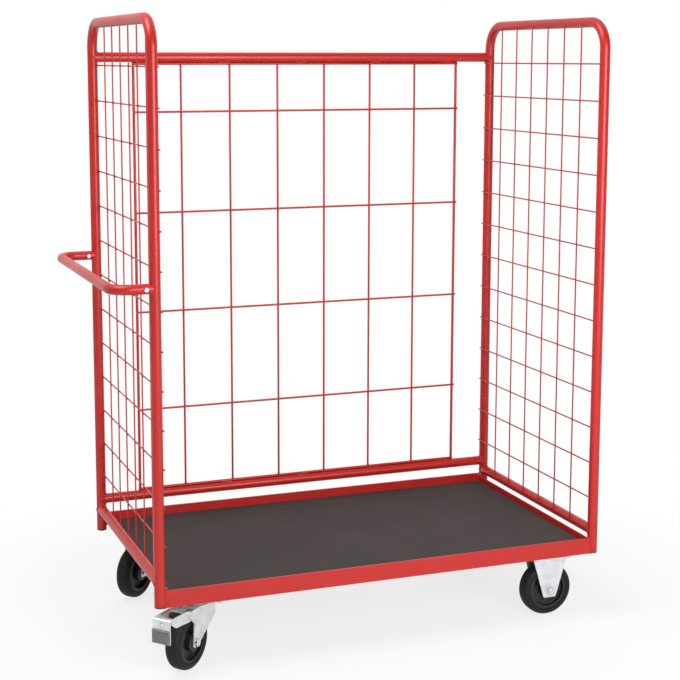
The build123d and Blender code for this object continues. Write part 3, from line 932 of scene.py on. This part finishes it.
@dataclass
class MeshFrames(Welded):
    """Hoops, rails and wires: the two ends and the back."""

    bend: float = 0.072
    foot_z: float = -0.028
    lower_z: float = 0.032
    hoop_z: float = 1.442
    back_low_z: float = 0.062
    back_top_z: float = 1.348
    side_wire_r: float = 0.002
    side_past: float = 0.005
    left_first: float = 0.125
    right_first: float = 0.130
    side_rows: int = 13
    side_row: float = 0.100
    side_cols: int = 6
    side_col: float = 0.094
    panel_half: float = 0.508
    rim_r: float = 0.004
    panel_wire_r: float = 0.003
    panel_first: float = 0.3205
    panel_rows: int = 4
    panel_row: float = 0.2905
    panel_cols: int = 6
    panel_col: float = 0.1474
    wire_sides: int = 12
    panel_sides: int = 16
    rim_sides: int = 20
    spot_r: float = 0.0028
    panel_spot_r: float = 0.0040
    spot_flat: float = 0.75
    spot_unevenness: float = 0.14
    stitch: float = 0.030
    stitches: int = 5

    @staticmethod
    def spaced(count: int, pitch: float) -> list[float]:
        """Places at one pitch about the middle."""
        return [(i - (count - 1) / 2) * pitch for i in range(count)]

    def side_columns(self) -> list[float]:
        """Places of an end's upright wires."""
        return self.spaced(self.side_cols, self.side_col)

    def side_levels(self, side: Side) -> list[float]:
        """Heights of the cross wires of one end."""
        first = self.left_first if side is Side.LEFT else self.right_first
        return [first + k * self.side_row for k in range(self.side_rows)]

    def panel_columns(self) -> list[float]:
        """Places of the back panel's upright wires."""
        return self.spaced(self.panel_cols, self.panel_col)

    def panel_levels(self) -> list[float]:
        """Heights of the back panel's cross wires."""
        return [self.panel_first + k * self.panel_row for k in range(self.panel_rows)]

    def build(self) -> None:
        """Bends the tubes, draws the wires and welds them."""
        for side in Side:
            self.end_frame(side)
            self.end_mesh(side)
        x, y = self.post_x, self.post_y
        for part, z in (("back_top_rail", self.back_top_z), ("back_bottom_rail", self.back_low_z)):
            self.rail(part, [(-x, y, z), (x, y, z)], Axis.ALONG)
        self.back_panel()
        self.weld()

    def rail(self, part: str, posts: Sequence[Point], way: Axis) -> None:
        """Sets a rail between points on two posts' axes, with the way from the first."""
        ends = [(post, way.value * sign, self.tube_r) for post, sign in zip(posts, (1.0, -1.0))]
        self.rods(part + "_tube", [straight(*posts)], self.tube_r, part, ends=ends)

    def end_frame(self, side: Side) -> None:
        """Bends one hoop and sets the lower rail between its posts.

        Args:
            side: the end.
        """
        x, y, z = side.value * self.post_x, self.post_y, self.lower_z
        corners = ((-y, self.foot_z), (-y, self.hoop_z), (y, self.hoop_z), (y, self.foot_z))
        path = [Vector((x, *corner)) for corner in corners]
        self.rods(side.named("hoop_tube"), [path], self.tube_r, side.named("hoop"), bend=self.bend)
        self.rail(side.named("lower_rail"), [(x, -y, z), (x, y, z)], Axis.ACROSS)

    def end_mesh(self, side: Side) -> None:
        """Draws one end's wires, the cross wires on the posts' inner sides.

        Args:
            side: the end.
        """
        sign, radius = side.value, self.side_wire_r
        low, high = self.lower_z, self.hoop_z
        cross_x = sign * (self.post_x - self.tube_r - radius)
        x = cross_x + sign * 2.0 * radius
        wires = [straight((x, y, low), (x, y, high)) for y in self.side_columns()]
        runs = ((low, Axis.UP.value), (high, -Axis.UP.value))
        ends = [((sign * self.post_x, 0.0, z), run, self.tube_r) for z, run in runs]
        name, node = side.named("mesh_upright_wires"), side.named("mesh_uprights")
        self.rods(name, wires, radius, node, sides=self.wire_sides, ends=ends)
        x, reach = cross_x, self.post_y + self.side_past
        wires = [straight((x, -reach, z), (x, reach, z)) for z in self.side_levels(side)]
        name, node = side.named("mesh_cross_wires"), side.named("mesh_crosswires")
        self.rods(name, wires, radius, node, sides=self.wire_sides)

    def back_panel(self) -> None:
        """Draws the back panel's rim and wires."""
        y, wide = self.post_y, self.panel_half + self.rim_r
        low = self.back_low_z + self.tube_r
        high = self.back_top_z - self.tube_r
        levels = (low + self.rim_r, high - self.rim_r)
        bars = [straight((-wide, y, z), (wide, y, z)) for z in levels]
        low, high = low + 2.0 * self.rim_r, high - 2.0 * self.rim_r
        bars += [straight((x, y, low), (x, y, high)) for x in (-self.panel_half, self.panel_half)]
        self.rods("back_mesh_rim_rods", bars, self.rim_r, "back_mesh_rim", sides=self.rim_sides)
        y += self.panel_wire_r - self.rim_r
        wires = [straight((x, y, low), (x, y, high)) for x in self.panel_columns()]
        name, node = "back_mesh_upright_wires", "back_mesh_uprights"
        self.rods(name, wires, self.panel_wire_r, node, sides=self.panel_sides)
        y -= 2.0 * self.panel_wire_r
        wires = [straight((-wide, y, z), (wide, y, z)) for z in self.panel_levels()]
        name, node = "back_mesh_cross_wires", "back_mesh_crosswires"
        self.rods(name, wires, self.panel_wire_r, node, sides=self.panel_sides)

    def weld(self) -> None:
        """Lays beads round the rails' ends, stitches along the rim and spots on the wires."""
        seams: list[Path] = []
        for side in Side:
            x = side.value * self.post_x
            for end in (-1.0, 1.0):
                post = (x, end * self.post_y, self.lower_z)
                seams.append(saddle(post, Axis.ACROSS.value * -end, self.tube_r))
            for z in (self.back_low_z, self.back_top_z):
                post = (x, self.post_y, z)
                seams.append(saddle(post, Axis.ALONG.value * -side.value, self.tube_r))
        self.lay("rail_welds", seams)

        y, half = self.post_y - self.rim_r, self.stitch / 2
        pitch = 2.0 * (self.panel_half - self.stitch) / (self.stitches - 1)
        places = self.spaced(self.stitches, pitch)
        levels = (self.back_low_z + self.tube_r, self.back_top_z - self.tube_r)
        self.lay(
            "rim_stitches",
            [straight((x - half, y, z), (x + half, y, z)) for z in levels for x in places],
        )

        flat = self.spot_flat
        drops = {"Unevenness": self.spot_unevenness, "Finish": RED.material()}
        for name, found, radius, shape in (
            ("end_mesh_spots", self.end_crossings(), self.spot_r, (flat, 1.0, 1.0)),
            ("back_mesh_spots", self.back_crossings(), self.panel_spot_r, (1.0, flat, 1.0)),
        ):
            points = bpy.data.meshes.new(name + "_points")
            points.from_pydata(found, [], [])
            drops |= {"Radius": radius, "Flatness": shape}
            self.show(name, self.trees.spots.run(points, drops), RED)

    def end_crossings(self) -> list[Point]:
        """Where the wires of the two ends touch each other and their tubes.

        Returns:
            The points.
        """
        found: list[Point] = []
        rise = math.sqrt(self.tube_r**2 - (self.tube_r - self.side_wire_r) ** 2)
        columns, tubes = self.side_columns(), (self.lower_z + rise, self.hoop_z - rise)
        for side in Side:
            touch = side.value * (self.post_x - self.tube_r)
            upright = touch + side.value * self.side_wire_r
            levels = self.side_levels(side)
            found += [(touch, y, z) for y in (*columns, -self.post_y, self.post_y) for z in levels]
            found += [(upright, y, z) for y in columns for z in tubes]
        return found

    def back_crossings(self) -> list[Point]:
        """Where the wires of the back panel touch each other and its rim.

        Returns:
            The points.
        """
        columns, levels = self.panel_columns(), self.panel_levels()
        touch = self.post_y - self.rim_r
        uprights = (*columns, -self.panel_half, self.panel_half)
        found = [(x, touch, z) for x in uprights for z in levels]
        low = self.back_low_z + self.tube_r + 2.0 * self.rim_r
        high = self.back_top_z - self.tube_r - 2.0 * self.rim_r
        found += [(x, touch + self.panel_wire_r, z) for x in columns for z in (low, high)]
        return found


@dataclass
class PushHandle(Posted):
    """The bent grip, its spigots and cross bolts."""

    tube_r: float = 0.013
    grip_x: float = -0.732
    level: float = 0.785
    bend: float = 0.046
    seat_r: float = 0.0143

    def build(self) -> None:
        """Bends the grip and dresses what holds it."""
        near, far, y, z = -self.post_x, self.grip_x, self.post_y, self.level
        path = [Vector((*corner, z)) for corner in ((near, -y), (far, -y), (far, y), (near, y))]
        posts = ((near, -y, z), (near, y, z))
        ends = [(post, -Axis.ALONG.value, self.seat_r) for post in posts]
        self.rods("push_handle_tube", [path], self.tube_r, "push_handle", bend=self.bend, ends=ends)
        self.dress("handle_spigots", RED)
        for node in ("handle_bolts", "handle_nuts"):
            self.dress(node, STEEL, Edge.SMALL)


@dataclass
class Wheel(SubAssembly):
    """A tyre turned from its profile, on its moulded centre and bearing."""

    corner: str = "front_right"
    tyre_r: float = 0.075
    seat_r: float = 0.056
    half_w: float = 0.022
    seat_in: float = 0.004
    seat_round: float = 0.0008
    ring: Rows = ((0.0014, 0.0), (0.0018, 0.0006), (0.0025, 0.0006), (0.0029, 0.0))
    shoulder: float = 0.015
    steps: int = 16
    groove: float = 0.0006
    line: int = 5
    seam: Rows = ((0.0062, 0.0), (0.0058, 0.0005), (0.0054, 0.0), (0.0, 0.0))
    segments: int = 144

    def profile(self) -> list[tuple[float, float, float]]:
        """Half of the tyre's section, from its seat to the middle of its tread.

        Returns:
            Rows of distance from the middle, radius and share of tread.
        """
        side, top, low = self.half_w, self.tyre_r, self.seat_r
        rows = [(side - self.seat_in, low, 0.0), (side - self.seat_round, low, 0.0)]
        rows += [(side, low + self.seat_round, 0.0)]
        rows += [(side - drop, low + at, 0.0) for at, drop in self.ring]
        for i in range(self.steps + 1):
            turn = math.pi / 2 * i / self.steps
            bulge = self.shoulder - (self.groove if i == self.line else 0.0)
            out = side - self.shoulder + bulge * math.cos(turn)
            rows.append((out, top - self.shoulder + bulge * math.sin(turn), i / self.steps))
        rows += [(out, top - drop, 1.0) for out, drop in self.seam]
        return rows

    def build(self) -> None:
        """Turns the tyre and dresses the centre."""
        joint = next(j for j in frame["joints"] if j["child"] == self.body)
        centre, axle = Vector(joint["pos_m"]), Vector(joint["axis"]).normalized()
        up = Axis.UP.value
        fore = axle.cross(up)
        half = self.profile()
        rows = half + [(-n, r, t) for n, r, t in reversed(half[:-1])]
        points, shares, faces = [], [], []
        for i in range(self.segments):
            turn = math.tau * i / self.segments
            out = fore * math.cos(turn) + up * math.sin(turn)
            points += [centre + axle * n + out * r for n, r, _ in rows]
            shares += [t for _, _, t in rows]
        count = len(rows)
        for i in range(self.segments):
            first, after = i * count, (i + 1) % self.segments * count
            for k in range(count):
                other = (k + 1) % count
                faces.append((first + k, first + other, after + other, after + k))
        mesh = bpy.data.meshes.new(self.corner + "_tyre_turned")
        mesh.from_pydata(points, [], faces)
        mesh.attributes.new(TREAD, "FLOAT", "POINT").data.foreach_set("value", shares)
        turned = bmesh.new()
        turned.from_mesh(mesh)
        bmesh.ops.recalc_face_normals(turned, faces=turned.faces[:])
        turned.to_mesh(mesh)
        turned.free()
        shade(mesh, TYRE_ANGLE)
        self.show(self.corner + "_tyre_turned", mesh, RUBBER, self.corner + "_tyre")
        self.dress(self.corner + "_rim", CENTRE, Edge.SOFT)
        self.dress(self.corner + "_bearing", STEEL)


@dataclass
class Casters(SubAssembly):
    """Head plates, brackets, forks and axles."""

    def build(self) -> None:
        """Dresses the casters, each piece on the body that carries it."""
        for row in ("front", "rear"):
            self.body = FRAME_BODY
            self.dress(f"{row}_right_bracket", ZINC, Edge.SHEET)
            for part in ("head_plate", "ball_race"):
                self.dress(f"{row}_left_{part}", ZINC, Edge.SMALL)
            self.dress(f"{row}_left_kingpin", STEEL)
            self.body = f"{row}_left_caster"
            self.dress(f"{row}_left_fork", ZINC, Edge.SHEET)
            for part in ("axle", "axle_nut"):
                self.dress(f"{row}_left_{part}", STEEL, Edge.SMALL)
        self.body = FRAME_BODY
        for node in ("fixed_axles", "fixed_axle_nuts"):
            self.dress(node, STEEL, Edge.SMALL)
        self.body = "front_left_caster"
        self.dress("front_left_brake_pin", STEEL, Edge.FINE)


@dataclass
class BrakePedal(SubAssembly):
    """The pressed pedal, its block coloured near-black as painted shade inside the pedal's window,
    and the ribbed pad under a foot.
    """

    body: str = "front_left_brake"
    swivel: tuple[float, float] = (-0.515, -0.282)
    heading: float = math.radians(221.0)
    pad_face: float = 0.162
    pad_low: float = -0.109
    pad_high: float = -0.073
    rib_half: float = 0.0225
    ribs: int = 6
    rib_r: float = 0.0013
    rib_sides: int = 12

    def build(self) -> None:
        """Dresses the pedal and lays the pad's ribs."""
        self.dress("front_left_brake_pedal", ZINC, Edge.SMALL)
        # The shoe's near-black finish is painted shade seen through the pedal's window.
        self.dress("front_left_brake_shoe", SHOE_PAINTED_SHADE, Edge.SMALL)
        self.dress("front_left_pedal_pad", PAD, Edge.SHEET)
        run = Vector((math.cos(self.heading), math.sin(self.heading), 0.0))
        across = run.cross(Axis.UP.value)
        face = Vector((*self.swivel, 0.0)) + run * self.pad_face
        paths = []
        for i in range(self.ribs):
            share = (i + 0.5) / self.ribs
            middle = face + Axis.UP.value * (self.pad_low + share * (self.pad_high - self.pad_low))
            paths.append([middle - across * self.rib_half, middle + across * self.rib_half])
        self.rods("pedal_pad_ribs", paths, self.rib_r, finish=PAD, sides=self.rib_sides)


@dataclass(frozen=True)
class Lamp:
    """A soft square lamp that faces the trolley."""

    name: str
    place: Point
    size: float
    power: float
    aim: Point = (0.0, 0.0, 0.55)
    mirrored: bool = True

    def hang(self) -> None:
        """Puts the lamp in the scene."""
        light = bpy.data.lights.new(self.name, "AREA")
        light.size = self.size
        light.energy = self.power
        lamp = bpy.data.objects.new(self.name, light)
        lamp.visible_camera = False
        lamp.visible_glossy = self.mirrored
        lamp.location = self.place
        way = Vector(self.aim) - Vector(self.place)
        lamp.rotation_euler = way.to_track_quat("-Z", "Y").to_euler()
        bpy.context.scene.collection.objects.link(lamp)


@dataclass
class Studio:
    """A white floor that fades into a white surround, plain soft lamps and the camera."""

    floor_z: float = -0.214
    floor_half: float = 30.0
    floor_tone: float = 0.86
    fade_from: float = 0.75
    fade_to: float = 1.5
    lift: float = 0.78
    ambient: float = 0.15
    dim: float = 0.08
    sheet: float = 1.0
    sheet_way: Point = (0.0, 0.8, 0.6)
    sheet_from: float = -0.2
    sheet_to: float = 0.6
    eye: Point = (-1.5222, -3.8943, 1.3440)
    yaw: float = math.radians(20.324)
    pitch: float = math.radians(8.084)
    lens: float = 79.52
    shift_x: float = 0.0364
    shift_y: float = -0.10
    far: float = 200.0
    lamps: tuple[Lamp, ...] = (
        Lamp("key_lamp", (0.4, -2.8, 1.2), 1.2, 62.0, (0.0, -0.3, 0.5)),
        Lamp("top_lamp", (-1.9, -0.4, 3.9), 2.2, 112.0),
        Lamp("back_lamp", (1.6, 3.6, 1.3), 2.0, 75.0, mirrored=False),
    )

    @staticmethod
    def rays(nodes: Nodes) -> list[Sock]:
        """One for a camera, a glossy and a clear ray, each by itself."""
        return [nodes.node("ShaderNodeLightPath", out=kind.value) for kind in Ray]

    @staticmethod
    def eased(nodes: Nodes, value: Sock, **limits: float) -> Sock:
        """A value eased from one range into another, with the limits by their sockets' names."""
        sockets = {"Value": value} | {key.replace("_", " "): limits[key] for key in limits}
        return nodes.node("ShaderNodeMapRange", {"interpolation_type": "SMOOTHSTEP"}, sockets)

    def surround(self) -> None:
        """A white surround to look at that lights the trolley at a plain level."""
        world = bpy.data.worlds.new("studio_surround")
        bpy.context.scene.world = world
        world.use_nodes = True
        world.node_tree.nodes.clear()
        nodes = Nodes(world.node_tree)
        pair = {0: nodes.node("ShaderNodeTexCoord", out="Generated"), 1: self.sheet_way}
        behind = nodes.node("ShaderNodeVectorMath", {"operation": "DOT_PRODUCT"}, pair, "Value")
        sheet = self.eased(
            nodes,
            behind,
            From_Min=self.sheet_from,
            From_Max=self.sheet_to,
            To_Min=self.dim - self.ambient,
            To_Max=self.sheet - self.ambient,
        )
        camera, glossy, clear = self.rays(nodes)
        level = self.ambient + (1.0 - self.ambient) * (camera + clear) + sheet * glossy
        glow = nodes.node("ShaderNodeBackground", None, {"Color": WHITE, "Strength": level})
        nodes.node("ShaderNodeOutputWorld", None, {"Surface": glow})

    def floor(self) -> None:
        """A pale floor that keeps the shadow near the trolley and fades to white."""
        half, tone = self.floor_half, self.floor_tone
        corners = ((-half, -half), (half, -half), (half, half), (-half, half))
        mesh = bpy.data.meshes.new("floor")
        mesh.from_pydata([(x, y, self.floor_z) for x, y in corners], [], [(0, 1, 2, 3)])
        shader = Shader("pale_floor")
        length = {"operation": "LENGTH"}
        far = shader.node("ShaderNodeVectorMath", length, {0: shader.place()}, "Value")
        fade = self.eased(shader, far, From_Min=self.fade_from, From_Max=self.fade_to)
        pale = shader.node("ShaderNodeBsdfDiffuse", None, {"Color": (tone, tone, tone, 1.0)})
        white = shader.node("ShaderNodeEmission", None, {"Color": WHITE, "Strength": 1.0})
        camera, glossy, clear = self.rays(shader)
        share = (self.lift + (1.0 - self.lift) * fade) * (camera + glossy + clear)
        surface = shader.node("ShaderNodeMixShader", None, {0: share, 1: pale, 2: white})
        mesh.materials.append(shader.finish(surface))
        piece = bpy.data.objects.new("floor", mesh)
        bpy.context.scene.collection.objects.link(piece)

    def camera(self) -> None:
        """The camera at the photograph's viewing angle."""
        data = bpy.data.cameras.new("camera")
        data.lens = self.lens
        data.shift_x = self.shift_x
        data.shift_y = self.shift_y
        data.clip_end = self.far
        piece = bpy.data.objects.new("camera", data)
        piece.location = self.eye
        piece.rotation_euler = (math.pi / 2 - self.pitch, 0.0, -self.yaw)
        bpy.context.scene.collection.objects.link(piece)
        bpy.context.scene.camera = piece

    def build(self) -> None:
        """Sets up the studio."""
        bpy.context.scene.view_settings.view_transform = "Standard"
        self.surround()
        self.floor()
        for lamp in self.lamps:
            lamp.hang()
        self.camera()


def main() -> None:
    """Builds the trolley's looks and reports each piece."""
    logging.basicConfig(level=logging.INFO, format="%(name)s %(message)s")
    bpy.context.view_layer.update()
    trees = Trees()
    for kind in (Base, MeshFrames, PushHandle, Casters, BrakePedal):
        kind(trees).build()
    for corner in ("front_left", "rear_left", "front_right", "rear_right"):
        Wheel(trees, corner + "_wheel", corner).build()
    Studio().build()


if __name__ == "__main__":
    main()
